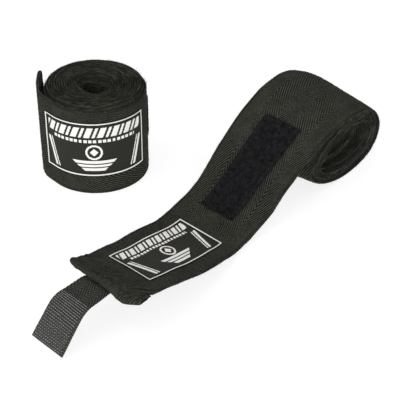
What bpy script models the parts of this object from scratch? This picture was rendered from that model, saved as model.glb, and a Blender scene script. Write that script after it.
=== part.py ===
"""A pair of boxing hand wraps: one rolled up and standing, one partly unrolled and lying.

Each wrap is a long woven band with a folded and stitched hem, a woven label, a tail of hook tape
sewn under the hem, a loop patch that the tail fastens to, and a thumb loop at the inner end.
Lengths are in metres, +Z is up, and the pair stands on z = 0.
"""
import math

import bmesh
import bpy
from mathutils import Vector

MM = 0.001

# Cloth, the same for both wraps
BAND_WIDTH = 50.0 * MM
BAND_THICK = 0.5 * MM
GAP = 0.3 * MM
HINGE_GAP = 0.6 * MM
TAIL_GAP = 0.9 * MM
HEM_FOLD = 12.0 * MM
HEM_FLARE = 1.0 * MM
LABEL_LENGTH = 58.0 * MM
LABEL_WIDTH = 31.0 * MM
LABEL_THICK = 0.4 * MM
LABEL_FROM_HEM = 19.0 * MM
TAIL_WIDTH = 20.5 * MM
TAIL_THICK = 0.7 * MM
TAIL_ROOT = 9.0 * MM
TAIL_HINGE_OUT = 1.5 * MM
PATCH_LENGTH = 60.0 * MM
PATCH_WIDTH = 25.0 * MM
PATCH_THICK = 0.6 * MM
PATCH_FROM_HEM = 92.0 * MM
THREAD_WIDTH = 0.8 * MM
THREAD_THICK = 0.3 * MM
STITCH_INSET = 1.2 * MM
HEM_STITCH_START = 1.5 * MM
HEM_STITCH_LENGTH = 8.0 * MM
LOOP_WIDTH = 18.0 * MM
LOOP_LENGTH = 30.0 * MM
TACK_LENGTH = 2.5 * MM
TACK_WIDTH = 13.0 * MM

# Where the pair stands: the shift that puts the middle of its footprint at the origin
SHIFT = Vector((16.5 * MM, -19.9 * MM, 0.0))

# The lying wrap. Its band leaves the top of the roll, runs down to the table and rises to the hem.
ROLL_TOP = Vector((67.5 * MM, 0.0, 36.0 * MM))
ROLL_MIDDLE_Y = -19.0 * MM
RUN_CHAIN = ((38.0, 33.0), (28.8, 0.0), (25.0, -29.0))
END_CHAIN = ((18.0, -18.0), (62.0, 0.0))
TAIL_CHAIN = ((6.0, 17.0), (10.0, 0.0), (10.0, 43.0), (16.5, 0.0))
END_DRIFT = 0.078
END_SKEW = math.radians(10.0)
ROLL_TILT = math.radians(-5.0)
FOOT_TILT = math.radians(3.0)
HEM_TILT = math.radians(8.0)
TAIL_ASIDE = -2.8 * MM
LYING_TURNS = 16
# Section of the lying roll, from its top clockwise: the outermost turn and the open core
ROLL_OUTLINE = ((67.5, 36.0), (88.0, 32.0), (97.0, 18.0), (89.5, 4.6),
                (67.5, 0.25), (46.0, 5.5), (33.5, 16.5), (45.5, 28.8))
CORE_OUTLINE = ((69.0, 20.4), (79.0, 19.8), (84.0, 16.4), (79.0, 12.4),
                (69.0, 11.0), (59.0, 11.4), (54.5, 14.6), (59.0, 18.6))
SPLINE_STEPS = 4

# The rolled wrap, standing on its edge
STAND_CENTRE = Vector((-9.6 * MM, 62.2 * MM, 0.5 * BAND_WIDTH))
STAND_RADIUS = 26.7 * MM
CORE_RADIUS = 6.2 * MM
CORE_OVAL = 1.6 * MM
CORE_OVAL_ANGLE = math.radians(70.0)
STAND_TURNS = 17
STEPS_PER_TURN = 30
HEM_ANGLE = math.radians(115.0)
HEM_LIFT = 3.3 * MM
HEM_LIFT_LENGTH = 26.0 * MM
TAIL_RADIUS = 28.2 * MM

PARTS = "hand_wraps"


def clear_scene():
    """Remove whatever the open file holds."""
    for thing in list(bpy.data.objects):
        bpy.data.objects.remove(thing, do_unlink=True)


def smooth(t):
    """Ease from 0 to 1."""
    t = min(max(t, 0.0), 1.0)
    return t * t * (3.0 - 2.0 * t)


def chain_length(chain):
    """Length in metres of a chain of (millimetres, degrees) pieces."""
    return sum(piece[0] for piece in chain) * MM


def chain_point(chain, distance):
    """Place and pitch along a chain of arcs and straights that starts level at the roll's top.

    Each piece is its length and the angle it bends downwards. Distance runs towards the tail (-X).
    """
    x = ROLL_TOP.x
    z = ROLL_TOP.z
    pitch = 0.0
    for length_mm, bend in chain:
        length = length_mm * MM
        used = min(distance, length)
        turn = math.radians(bend) * used / length
        chord = used
        if abs(turn) > 1e-9:
            chord = used * math.sin(0.5 * turn) / (0.5 * turn)
        x -= chord * math.cos(pitch + 0.5 * turn)
        z -= chord * math.sin(pitch + 0.5 * turn)
        pitch += turn
        distance -= used
        if distance <= 0.0:
            break
    x -= distance * math.cos(pitch)
    z -= distance * math.sin(pitch)
    return x, z, pitch


LYING_CHAIN = RUN_CHAIN + END_CHAIN + TAIL_CHAIN
RUN_LENGTH = chain_length(RUN_CHAIN)
END_LENGTH = chain_length(END_CHAIN)
HEM_AT = RUN_LENGTH + END_LENGTH
TAIL_TIP_AT = HEM_AT + chain_length(TAIL_CHAIN)


def lying_point(distance, across, height):
    """A point on the lying band: distance from the roll's top, across from its middle, height."""
    x, z, pitch = chain_point(LYING_CHAIN, distance)
    along = Vector((-math.cos(pitch), 0.0, -math.sin(pitch)))
    up = Vector((-math.sin(pitch), 0.0, math.cos(pitch)))
    settle = 1.0 - 0.6 * smooth((distance - HEM_AT) / (TAIL_TIP_AT - HEM_AT))
    skew = END_SKEW * smooth((distance - 0.5 * RUN_LENGTH) / RUN_LENGTH) * settle
    tilt = ROLL_TILT + (FOOT_TILT - ROLL_TILT) * smooth(distance / RUN_LENGTH)
    tilt += (HEM_TILT - FOOT_TILT) * smooth((distance - RUN_LENGTH) / END_LENGTH)
    tilt *= settle
    drift = END_DRIFT * min(max(distance - RUN_LENGTH, 0.0), END_LENGTH)
    side = Vector((0.0, -math.cos(skew), 0.0)) + along * math.sin(skew) + up * math.sin(tilt)
    middle = Vector((x, ROLL_MIDDLE_Y - drift, z))
    return middle + side * across + up * height + SHIFT


def closed_spline(points, place):
    """A point on the smooth closed curve through the points, at a place counted in points."""
    count = len(points)
    index = math.floor(place)
    t = place - index
    p0, p1, p2, p3 = (Vector(points[(index + k) % count]) for k in (-1, 0, 1, 2))
    bend = (2.0 * p0 - 5.0 * p1 + 4.0 * p2 - p3) * t * t
    twist = (3.0 * p1 - p0 - 3.0 * p2 + p3) * t * t * t
    return (2.0 * p1 + (p2 - p0) * t + bend + twist) * 0.5 * MM


def lying_turn(place):
    """The section of the lying roll at a place along its winding, counted in outline points."""
    inward = place / (LYING_TURNS * len(ROLL_OUTLINE))
    outer = closed_spline(ROLL_OUTLINE, place)
    core = closed_spline(CORE_OUTLINE, place)
    return outer.lerp(core, inward)


def lying_roll_point(place, across, height):
    """A point on the wound part of the lying band. Height is measured outwards."""
    step = 0.01
    here = lying_turn(place)
    ahead = (lying_turn(place + step) - lying_turn(place - step)).normalized()
    outward = Vector((-ahead.y, ahead.x))
    spot = here + outward * height
    lean = across * math.sin(ROLL_TILT) * spot.y / ROLL_TOP.z
    return Vector((spot.x, ROLL_MIDDLE_Y - across, spot.y + lean)) + SHIFT


def stand_radius(angle):
    """Radius of the rolled band's middle at an angle wound from the hem."""
    inward = angle / (2.0 * math.pi * STAND_TURNS)
    core = CORE_RADIUS + CORE_OVAL * math.cos(2.0 * (HEM_ANGLE + angle - CORE_OVAL_ANGLE))
    lift = HEM_LIFT * smooth((HEM_LIFT_LENGTH - angle * STAND_RADIUS) / (HEM_LIFT_LENGTH - HEM_FOLD))
    return STAND_RADIUS + (core - STAND_RADIUS) * inward + lift


def stand_point(angle, across, height):
    """A point on the rolled band: angle wound from the hem, across from its middle, height."""
    radius = stand_radius(angle) + height
    turned = HEM_ANGLE + angle
    spot = Vector((math.cos(turned), math.sin(turned), 0.0)) * radius
    return STAND_CENTRE + spot - Vector((0.0, 0.0, across)) + SHIFT


def tail_ring_point(distance, across, height):
    """A point on the closed tail: distance from the hem round the back of the rolled wrap."""
    turned = HEM_ANGLE - distance / TAIL_RADIUS
    spot = Vector((math.cos(turned), math.sin(turned), 0.0)) * (TAIL_RADIUS + height)
    return STAND_CENTRE + spot - Vector((0.0, 0.0, across)) + SHIFT


def cloth_material(name, colour, roughness):
    """A plain matte material."""
    material = bpy.data.materials.get(name)
    if material is None:
        material = bpy.data.materials.new(name)
        material.use_nodes = True
        shader = material.node_tree.nodes["Principled BSDF"]
        shader.inputs["Base Color"].default_value = (*colour, 1.0)
        shader.inputs["Roughness"].default_value = roughness
        shader.inputs["Metallic"].default_value = 0.0
    return material


def sheet(name, rows, thick, material, closed=False, hole=False):
    """A sheet of the given thickness through rows of points, as one object.

    A closed sheet joins its last row to its first. A hole leaves out the middle of the sheet,
    which makes a rectangular ring.
    """
    mesh = bpy.data.meshes.new(name)
    form = bmesh.new()
    grid = [[form.verts.new(point) for point in row] for row in rows]
    pairs = list(zip(grid, grid[1:]))
    if closed:
        pairs.append((grid[-1], grid[0]))
    last = len(pairs) - 1
    for number, (near, far) in enumerate(pairs):
        for column in range(len(near) - 1):
            if hole and 0 < number < last and 0 < column < len(near) - 2:
                continue
            form.faces.new((near[column], near[column + 1], far[column + 1], far[column]))
    bmesh.ops.recalc_face_normals(form, faces=form.faces)
    form.to_mesh(mesh)
    form.free()
    thing = bpy.data.objects.new(name, mesh)
    bpy.data.collections[PARTS].objects.link(thing)
    solid = thing.modifiers.new("Thickness", "SOLIDIFY")
    solid.thickness = thick
    solid.offset = 0.0
    solid.use_even_offset = True
    mesh.materials.append(material)
    return thing


def spread(start, stop, step):
    """Evenly spaced values from start to stop, both included, no further apart than step."""
    count = max(1, math.ceil(abs(stop - start) / step - 1e-6))
    return [start + (stop - start) * k / count for k in range(count + 1)]


def strip(name, place, start, stop, step, width, height, thick, material, aside=0.0):
    """A straight-edged strip of cloth on one of the band's surfaces, aside from its middle."""
    rows = []
    for distance in spread(start, stop, step):
        rows.append([place(distance, aside + side * width, height) for side in (-0.5, 0.5)])
    return sheet(name, rows, thick, material)


def stitch_ring(name, place, start, stop, step, width, height, per_metre, material):
    """A rectangle of stitching that lies on one of the band's surfaces.

    per_metre turns a length along the band into the units that place takes.
    """
    thread = THREAD_WIDTH * per_metre
    inner = spread(start + thread, stop - thread, step)
    stations = [start] + inner + [stop]
    half = 0.5 * width
    columns = (-half, THREAD_WIDTH - half, half - THREAD_WIDTH, half)
    rows = [[place(distance, across, height) for across in columns] for distance in stations]
    return sheet(name, rows, THREAD_THICK, material, hole=True)


def band_row(place, at, height, from_hem, far_flare):
    """One row across the band: its upper edge flares near the hem, its lower one by far_flare."""
    flare = HEM_FLARE * smooth(1.0 - from_hem / HEM_FOLD)
    half = 0.5 * BAND_WIDTH
    return [place(at, -half - flare, height), place(at, half + far_flare * flare, height)]


def folded_end(place, hem, step, far_flare):
    """Rows of points round the hem's fold, from the fold back under the band.

    step turns a length towards the hem into the units that place takes.
    """
    radius = 0.5 * (BAND_THICK + GAP)
    rows = []
    for number in range(1, 6):
        turn = math.pi * number / 6.0
        out = hem + radius * math.sin(turn) * step
        rows.append(band_row(place, out, radius * (math.cos(turn) - 1.0), 0.0, far_flare))
    for back in spread(0.0, HEM_FOLD, 3.0 * MM):
        rows.append(band_row(place, hem - back * step, -2.0 * radius, back, far_flare))
    return rows


def hinge(name, spot):
    """An empty on a hinge's axis."""
    empty = bpy.data.objects.new(name, None)
    empty.empty_display_size = 0.02
    empty.location = spot
    bpy.data.collections[PARTS].objects.link(empty)
    return empty


def hang_on(empty, things):
    """Make the things move with the empty, where they are."""
    bpy.context.view_layer.update()
    for thing in things:
        thing.parent = empty
        thing.matrix_parent_inverse = empty.matrix_world.inverted()


def make_lying_wrap(band, label, thread, hook, fleece):
    """The partly unrolled wrap."""
    slack = 0.5 * HINGE_GAP
    places = spread(0.0, LYING_TURNS * len(ROLL_OUTLINE), 1.0 / SPLINE_STEPS)
    half = 0.5 * BAND_WIDTH
    rows = [[lying_roll_point(at, -half, 0.0), lying_roll_point(at, half, 0.0)] for at in places]
    rows[0] = [lying_point(-slack, -half, 0.0), lying_point(-slack, half, 0.0)]
    sheet("open_roll_band", rows, BAND_THICK, band)

    run = strip("open_run_band", lying_point, slack, RUN_LENGTH - slack, 4.0 * MM,
                BAND_WIDTH, 0.0, BAND_THICK, band)
    rows = []
    for at in spread(RUN_LENGTH + slack, HEM_AT, 4.0 * MM):
        rows.append(band_row(lying_point, at, 0.0, HEM_AT - at, 1.0))
    rows += folded_end(lying_point, HEM_AT, 1.0, 1.0)
    end = sheet("open_end_band", rows, BAND_THICK, band)

    top = 0.5 * BAND_THICK + GAP
    label_top = top + LABEL_THICK + GAP + 0.5 * THREAD_THICK
    label_end = HEM_AT - LABEL_FROM_HEM
    label_start = label_end - LABEL_LENGTH
    tag = strip("open_label", lying_point, label_start, label_end, 4.0 * MM,
                LABEL_WIDTH, top + 0.5 * LABEL_THICK, LABEL_THICK, label)
    tag_thread = stitch_ring("open_label_thread", lying_point, label_start + STITCH_INSET,
                             label_end - STITCH_INSET, 4.0 * MM,
                             LABEL_WIDTH - 2.0 * STITCH_INSET, label_top, 1.0, thread)
    stitch_top = top + 0.5 * THREAD_THICK
    hem_end = HEM_AT - HEM_STITCH_START
    hem_thread = stitch_ring("open_hem_thread", lying_point, hem_end - HEM_STITCH_LENGTH, hem_end,
                             4.0 * MM, BAND_WIDTH - 6.0 * MM, stitch_top, 1.0, thread)

    under = -1.5 * BAND_THICK - 2.0 * GAP - 0.5 * TAIL_THICK
    tail_hinge_at = HEM_AT + TAIL_HINGE_OUT
    tail_slack = 0.5 * TAIL_GAP
    root = strip("open_tail_root", lying_point, HEM_AT - TAIL_ROOT, tail_hinge_at - tail_slack,
                 3.0 * MM, TAIL_WIDTH, under, TAIL_THICK, hook, TAIL_ASIDE)
    tail = strip("open_hook_tail", lying_point, tail_hinge_at + tail_slack, TAIL_TIP_AT, 2.0 * MM,
                 TAIL_WIDTH, under, TAIL_THICK, hook, TAIL_ASIDE)

    patch_end = HEM_AT - PATCH_FROM_HEM
    patch_start = patch_end - PATCH_LENGTH
    patch_top = top + PATCH_THICK + GAP + 0.5 * THREAD_THICK
    patch = strip("open_loop_patch", lying_point, patch_start, patch_end, 4.0 * MM,
                  PATCH_WIDTH, top + 0.5 * PATCH_THICK, PATCH_THICK, fleece)
    patch_thread = stitch_ring("open_patch_thread", lying_point, patch_start + STITCH_INSET,
                               patch_end - STITCH_INSET, 4.0 * MM,
                               PATCH_WIDTH - 2.0 * STITCH_INSET, patch_top, 1.0, thread)

    run_hinge = hinge("open_run_hinge", lying_point(0.0, 0.0, 0.0))
    end_hinge = hinge("open_end_hinge", lying_point(RUN_LENGTH, 0.0, 0.0))
    tail_hinge = hinge("open_tail_hinge", lying_point(tail_hinge_at, 0.0, under))
    hang_on(run_hinge, (run, patch, patch_thread, end_hinge))
    hang_on(end_hinge, (end, tag, tag_thread, hem_thread, root, tail_hinge))
    hang_on(tail_hinge, (tail,))

    inner_end = LYING_TURNS * len(ROLL_OUTLINE)
    per_metre = 1.0 / (lying_turn(inner_end + 0.5) - lying_turn(inner_end - 0.5)).length
    make_thumb_loop("open", lying_roll_point, inner_end, per_metre, band, thread)


def make_thumb_loop(prefix, place, inner_end, per_metre, band, thread):
    """The flattened loop of band at the inner end, and the bar tack that closes it."""
    drop = BAND_THICK + GAP
    start = inner_end + (0.5 * drop + 0.5 * BAND_THICK + 2.0 * GAP) * per_metre
    stop = start + LOOP_LENGTH * per_metre
    half = 0.5 * LOOP_WIDTH
    there = [(at, 0.0) for at in spread(start, stop, 2.5 * MM * per_metre)]
    turn = [(stop + 0.5 * drop * per_metre, -0.5 * drop)]
    back = [(at, -drop) for at, _ in reversed(there)]
    close = [(start - 0.5 * drop * per_metre, -0.5 * drop)]
    rows = [[place(at, -half, high), place(at, half, high)] for at, high in
            there + turn + back + close]
    sheet(prefix + "_thumb_loop", rows, BAND_THICK, band, closed=True)
    tack_start = start + 1.0 * MM * per_metre
    height = -drop - 0.5 * BAND_THICK - GAP - 0.5 * THREAD_THICK
    strip(prefix + "_thumb_loop_tack", place, tack_start, tack_start + TACK_LENGTH * per_metre,
          2.5 * MM * per_metre, TACK_WIDTH, height, THREAD_THICK, thread)


def make_rolled_wrap(band, label, thread, hook, fleece):
    """The wrap that is rolled up and closed."""
    per_metre = 1.0 / STAND_RADIUS
    facet = 2.0 * math.pi / STEPS_PER_TURN
    whole = 2.0 * math.pi * STAND_TURNS
    rows = list(reversed(folded_end(stand_point, 0.0, -per_metre, 0.0)))
    for angle in spread(0.0, whole, facet):
        rows.append(band_row(stand_point, angle, 0.0, angle * STAND_RADIUS, 0.0))
    things = [sheet("rolled_band", rows, BAND_THICK, band)]

    top = 0.5 * BAND_THICK + GAP
    label_top = top + LABEL_THICK + GAP + 0.5 * THREAD_THICK
    label_start = LABEL_FROM_HEM * per_metre
    label_end = label_start + LABEL_LENGTH * per_metre
    inset = STITCH_INSET * per_metre
    things.append(strip("rolled_label", stand_point, label_start, label_end, 0.5 * facet,
                        LABEL_WIDTH, top + 0.5 * LABEL_THICK, LABEL_THICK, label))
    things.append(stitch_ring("rolled_label_thread", stand_point, label_start + inset,
                              label_end - inset, 0.5 * facet, LABEL_WIDTH - 2.0 * STITCH_INSET,
                              label_top, per_metre, thread))
    things.append(stitch_ring("rolled_hem_thread", stand_point, HEM_STITCH_START * per_metre,
                              (HEM_STITCH_START + HEM_STITCH_LENGTH) * per_metre, 0.5 * facet,
                              BAND_WIDTH - 6.0 * MM, top + 0.5 * THREAD_THICK, per_metre, thread))

    slack = 0.5 * TAIL_GAP
    things.append(strip("rolled_tail_root", tail_ring_point, -TAIL_ROOT, TAIL_HINGE_OUT - slack,
                        3.0 * MM, TAIL_WIDTH, 0.0, TAIL_THICK, hook))
    tail = strip("rolled_hook_tail", tail_ring_point, TAIL_HINGE_OUT + slack, TAIL_TIP_AT - HEM_AT,
                 3.0 * MM, TAIL_WIDTH, 0.0, TAIL_THICK, hook)
    patch_start = PATCH_FROM_HEM * per_metre
    patch_end = patch_start + PATCH_LENGTH * per_metre
    patch_top = top + PATCH_THICK + GAP + 0.5 * THREAD_THICK
    things.append(strip("rolled_loop_patch", stand_point, patch_start, patch_end, 0.5 * facet,
                        PATCH_WIDTH, top + 0.5 * PATCH_THICK, PATCH_THICK, fleece))
    things.append(stitch_ring("rolled_patch_thread", stand_point, patch_start + inset,
                              patch_end - inset, 0.5 * facet, PATCH_WIDTH - 2.0 * STITCH_INSET,
                              patch_top, per_metre, thread))
    make_thumb_loop("rolled", stand_point, whole, 1.0 / stand_radius(whole), band, thread)

    lift = hinge("rolled_lift", STAND_CENTRE + SHIFT)
    tail_hinge = hinge("rolled_tail_hinge", tail_ring_point(TAIL_HINGE_OUT, 0.0, 0.0))
    things += [bpy.data.objects["rolled_thumb_loop"], bpy.data.objects["rolled_thumb_loop_tack"]]
    hang_on(lift, things + [tail_hinge])
    hang_on(tail_hinge, (tail,))


def main():
    """Build both wraps."""
    clear_scene()
    collection = bpy.data.collections.new(PARTS)
    bpy.context.scene.collection.children.link(collection)
    band = cloth_material("band_cloth", (0.024, 0.025, 0.020), 0.93)
    label = cloth_material("label_weave", (0.62, 0.62, 0.60), 0.75)
    thread = cloth_material("thread", (0.030, 0.030, 0.028), 0.7)
    hook = cloth_material("hook_tape", (0.040, 0.042, 0.038), 0.6)
    fleece = cloth_material("loop_fleece", (0.012, 0.012, 0.015), 0.97)
    make_lying_wrap(band, label, thread, hook, fleece)
    make_rolled_wrap(band, label, thread, hook, fleece)


main()
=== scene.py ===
"""The looks of a pair of boxing hand wraps: one rolled up and standing, one partly unrolled.

The cloth follows the same paths as the model's bands. Every ribbon is built from rows of closed
sections along its path, with real herringbone ribs, and carries cloth coordinates that the weave
materials read. Along means the distance from the hem, across runs from the band's upper edge to
its lower one, and height is measured out of the label's side. Lengths are in metres.
"""

import bisect
import math
import random

import bmesh
import bpy
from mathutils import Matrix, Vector, noise


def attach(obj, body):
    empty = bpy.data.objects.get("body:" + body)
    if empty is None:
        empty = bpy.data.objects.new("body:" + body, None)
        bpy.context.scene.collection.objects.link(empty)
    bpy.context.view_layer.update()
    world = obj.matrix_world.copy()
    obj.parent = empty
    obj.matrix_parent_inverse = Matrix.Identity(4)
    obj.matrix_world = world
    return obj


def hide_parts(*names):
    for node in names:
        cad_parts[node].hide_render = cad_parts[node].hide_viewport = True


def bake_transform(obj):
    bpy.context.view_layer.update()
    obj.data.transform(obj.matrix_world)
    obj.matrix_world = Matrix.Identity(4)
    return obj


MM = 0.001
TURN = 2.0 * math.pi
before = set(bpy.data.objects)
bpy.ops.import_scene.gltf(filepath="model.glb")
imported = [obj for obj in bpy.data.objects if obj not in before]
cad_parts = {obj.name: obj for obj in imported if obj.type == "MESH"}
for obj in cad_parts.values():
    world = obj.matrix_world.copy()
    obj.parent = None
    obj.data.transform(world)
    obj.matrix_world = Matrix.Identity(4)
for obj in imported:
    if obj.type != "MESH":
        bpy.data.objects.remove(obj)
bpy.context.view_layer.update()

# Cloth, the same for both wraps
BAND_WIDTH = 50.0 * MM
BAND_THICK = 0.8 * MM
RIB_PITCH = 1.15 * MM
RIB_HEIGHT = 0.14 * MM
RIB_SLOPE = 2.0
RIB_STEPS = 5
CHEVRONS = 5
CHEVRON_STEPS = 6
HEM_FOLD = 12.0 * MM
HEM_RISE = 1.1 * MM
HEM_RISE_RUN = 3.0 * MM
HEM_RIDGE = 0.9 * MM
HEM_RIDGE_AT = 2.0 * MM
HEM_RIDGE_WIDE = 2.0 * MM
HEM_WAVE = 0.6 * MM
HEM_WAVE_SIZE = 9.0 * MM
HEM_LUMP = 0.25 * MM
HEM_LUMP_SIZE = 3.5 * MM
HEM_SEWN_AT = 10.0 * MM
HEM_SEWN_DEEP = 0.8 * MM
HEM_SEWN_WIDE = 1.1 * MM
OPEN_FOLD = 0.85 * MM
ROLLED_FOLD = 0.5 * MM
FOLD_PRESSED = 0.3
OPEN_ROUNDS = (1.5 * MM, 6.0 * MM)
ROLLED_ROUNDS = (0.7 * MM, 0.7 * MM)
HEM_ROUND_RUN = 13.0 * MM
OPEN_FLARES = (-0.2 * MM, 1.6 * MM)
OPEN_CORNER = 2.8 * MM
OPEN_CORNER_RUN = 34.0 * MM
OPEN_REACH = 3.8 * MM
OPEN_SHEAR = 0.05
OPEN_REACH_RUN = 110.0 * MM
OPEN_BELLY = 3.4 * MM
OPEN_BELLY_AT = 42.0 * MM
OPEN_BELLY_RUN = 29.0 * MM
OPEN_WAIST = 1.8 * MM
OPEN_WAIST_AT = 110.0 * MM
OPEN_WAIST_RUN = 30.0 * MM
FLUTTER = 0.8 * MM
FLUTTER_SIZE = 19.0 * MM
FLUTTER_HELD = 0.65
WANDER = 0.45 * MM
WANDER_SIZE = 12.0 * MM
TOP_HUMP = 3.2 * MM
TOP_HUMP_ACROSS = -15.0 * MM
TOP_HUMP_WIDE = 15.0 * MM
TOP_HUMP_AT = 6.0 * MM
TOP_HUMP_RUN = 26.0 * MM
ROLLED_FLARES = (3.2 * MM, 0.0)
ROLLED_PUFF = 0.4
LABEL_LENGTH = 58.0 * MM
LABEL_WIDTH = 31.0 * MM
LABEL_FROM_HEM = 19.0 * MM
LABEL_HEIGHT = 0.75 * MM
LABEL_THICK = 0.35 * MM
LABEL_PICK = 0.33 * MM
TAIL_WIDTH = 20.5 * MM
TAIL_THICK = 0.7 * MM
TAIL_ROOT = 9.0 * MM
TAIL_HEIGHT = -2.5 * MM
TAIL_TIP_RISE = 1.2 * MM
TAIL_RELIEF = 0.12 * MM
TAIL_WAVE = 0.25 * MM
TAIL_WAVE_SIZE = 11.0 * MM
TAIL_TAPE_END = 17.0 * MM
TAIL_ASIDE = -2.8 * MM
PATCH_LENGTH = 60.0 * MM
PATCH_WIDTH = 25.0 * MM
PATCH_FROM_HEM = 92.0 * MM
PATCH_HEIGHT = 0.7 * MM
PATCH_THICK = 0.5 * MM
PATCH_SHORT = 3.5 * MM
PATCH_NARROW = 3.0 * MM
PATCH_ASKEW = 2.6 * MM
PATCH_FEATHER = 1.2 * MM
PATCH_MAT = 0.25 * MM
PATCH_MAT_SIZE = 2.2 * MM
PATCH_FRAY = 0.5 * MM
PATCH_FRAY_SIZE = 5.0 * MM
LOOP_WIDTH = 18.0 * MM
LOOP_LENGTH = 30.0 * MM
LOOP_GAP = 0.8 * MM
CORE_RIPPLE = 1.2 * MM
EDGE_FINE = 0.14 * MM
EDGE_FINE_SIZE = 5.0 * MM
OPEN_NEAR_IN = 1.6 * MM
OPEN_FAR_IN = 0.9 * MM
ROLLED_FIRST_IN = 2.4 * MM
ROLLED_LATE_OUT = 0.8 * MM
ROLLED_CORE_IN = 4.2 * MM
ROLLED_LOWER_IN = 0.4 * MM
OPEN_CORE = 90.0 * MM
OPEN_STEP = 2.4 * MM
ROLLED_CORE = 60.0 * MM
ROLLED_STEP = 2.2 * MM
ROLLED_LABEL_ON = 1.6 * MM
ROLLED_LABEL_UP = 1.4 * MM
TELESCOPE = 8.0 * MM
TELESCOPE_AT = 1050.0 * MM
TELESCOPE_RUN = 160.0 * MM
YARN_FLOAT = 1.25 * MM
THREAD_TWIST = 0.8 * MM
TAPE_COLUMN = 5.1 * MM
TAPE_SHIFT = 100.0 * MM
TAPE_WARP = 0.6 * MM
TAPE_PITCH = 2.1 * MM
TAPE_SLOPE = 1.5
PAD_PITCH = 1.25 * MM
PAD_SIDE = 1.0 * MM
PAD_TIP = 0.8 * MM
PAD_ROOT = 0.6 * MM
LABEL_RELIEF = 0.06 * MM
LABEL_SEWN = 0.15 * MM
LABEL_SEWN_WIDE = 1.2 * MM
LABEL_WAVE = 0.12 * MM
LABEL_WAVE_SIZE = 9.0 * MM
LABEL_STITCH_INSET = 1.6 * MM
STITCH_PITCH = 2.7 * MM
STITCH_LENGTH = 2.1 * MM
STITCH_RADIUS = 0.17 * MM
PATCH_STITCH = 1.5 * MM
DASH_ROW = 1.25 * MM
DASH_STEP = 1.4 * MM
HOOK_ROW = 0.95 * MM
HOOK_STEP = 0.8 * MM
LINT_DENSITY = 2.0e6
LINT_LENGTH = 1.2 * MM
LINT_RISE = 0.35 * MM
LINT_THICK = 0.03 * MM
PILE_DENSITY = 6.0e6
PILE_LENGTH = 1.3 * MM
PILE_RISE = 0.55 * MM
PILE_THICK = 0.05 * MM
RIM_DENSITY = 5000.0
RIM_INSET = 0.2 * MM
TOP_BEND = 16.0 * MM
FOOT_BEND = 10.0 * MM
TAIL_BEND_IN = -0.5 * MM
TAIL_BEND_OUT = 6.0 * MM
BULGE = 2.2 * MM
BULGE_RUN = 45.0 * MM
BULGE_LOW = 2.0 * MM
BULGE_HIGH = 20.0 * MM

# Paths of the model
SHIFT = Vector((16.5 * MM, -19.9 * MM, 0.0))
ROLL_TOP = Vector((67.5 * MM, 0.0, 36.0 * MM))
ROLL_MIDDLE_Y = -19.0 * MM
RUN_CHAIN = ((38.0, 33.0), (28.8, 0.0), (25.0, -29.0))
END_CHAIN = ((18.0, -18.0), (62.0, 0.0))
TAIL_CHAIN = ((6.0, 17.0), (10.0, 0.0), (10.0, 43.0), (16.5, 0.0))
END_DRIFT = 0.078
END_SKEW = math.radians(10.0)
ROLL_TILT = math.radians(-5.0)
FOOT_TILT = math.radians(3.0)
HEM_TILT = math.radians(8.0)
TAIL_SETTLE = 0.6
LYING_TURNS = 16
ROLL_OUTLINE = ((67.5, 36.0), (88.0, 32.0), (97.0, 18.0), (89.5, 4.6),
                (67.5, 0.25), (46.0, 5.5), (33.5, 16.5), (45.5, 28.8))
CORE_OUTLINE = ((69.0, 20.4), (79.0, 19.8), (84.0, 16.4), (79.0, 12.4),
                (69.0, 11.0), (59.0, 11.4), (54.5, 14.6), (59.0, 18.6))
STAND_CENTRE = Vector((-9.6 * MM, 62.2 * MM, 0.5 * BAND_WIDTH))
STAND_RADIUS = 26.7 * MM
CORE_RADIUS = 6.2 * MM
CORE_OVAL = 1.6 * MM
CORE_OVAL_ANGLE = math.radians(70.0)
STAND_TURNS = 17
HEM_ANGLE = math.radians(115.0)
HEM_LIFT = 2.1 * MM
HEM_LIFT_LENGTH = 26.0 * MM
TAIL_RADIUS = 26.9 * MM
TAIL_CLIMB = 1.2 * MM
TAIL_CLIMB_RUN = 14.0 * MM
INNER_THICK = 1.0 * MM
SHARP_ANGLE = math.radians(62.0)

# Camera, at the photographed angle, and light
CAMERA_DISTANCE = 0.600
CAMERA_AZIMUTH = math.radians(-50.0)
CAMERA_ELEVATION = math.radians(34.5)
CAMERA_LENS = 105.84
TABLE_GLOW = 0.8
WORLD_LIGHT = 0.75


def smooth(t):
    """Ease from 0 to 1."""
    t = min(max(t, 0.0), 1.0)
    return t * t * (3.0 - 2.0 * t)


def spread(start, stop, step):
    """Evenly spaced values from start to stop, both included, no further apart than step."""
    count = max(1, math.ceil(abs(stop - start) / step - 1e-6))
    return [start + (stop - start) * k / count for k in range(count + 1)]


def hump(value, centre, width):
    """A smooth hump, 1 at its centre."""
    return math.exp(-((value - centre) / width) ** 2)


def ripple(along, across, size, seed):
    """A smooth, repeatable unevenness from -1 to 1 that varies over about the given size."""
    return noise.noise(Vector((along / size, across / size, seed)))


# The lying wrap's path

def chain_length(chain):
    """Length in metres of a chain of (millimetres, degrees) pieces."""
    return sum(piece[0] for piece in chain) * MM


LYING_CHAIN = RUN_CHAIN + END_CHAIN + TAIL_CHAIN
RUN_LENGTH = chain_length(RUN_CHAIN)
HEM_AT = RUN_LENGTH + chain_length(END_CHAIN)
TAIL_LENGTH = chain_length(TAIL_CHAIN)


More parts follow.
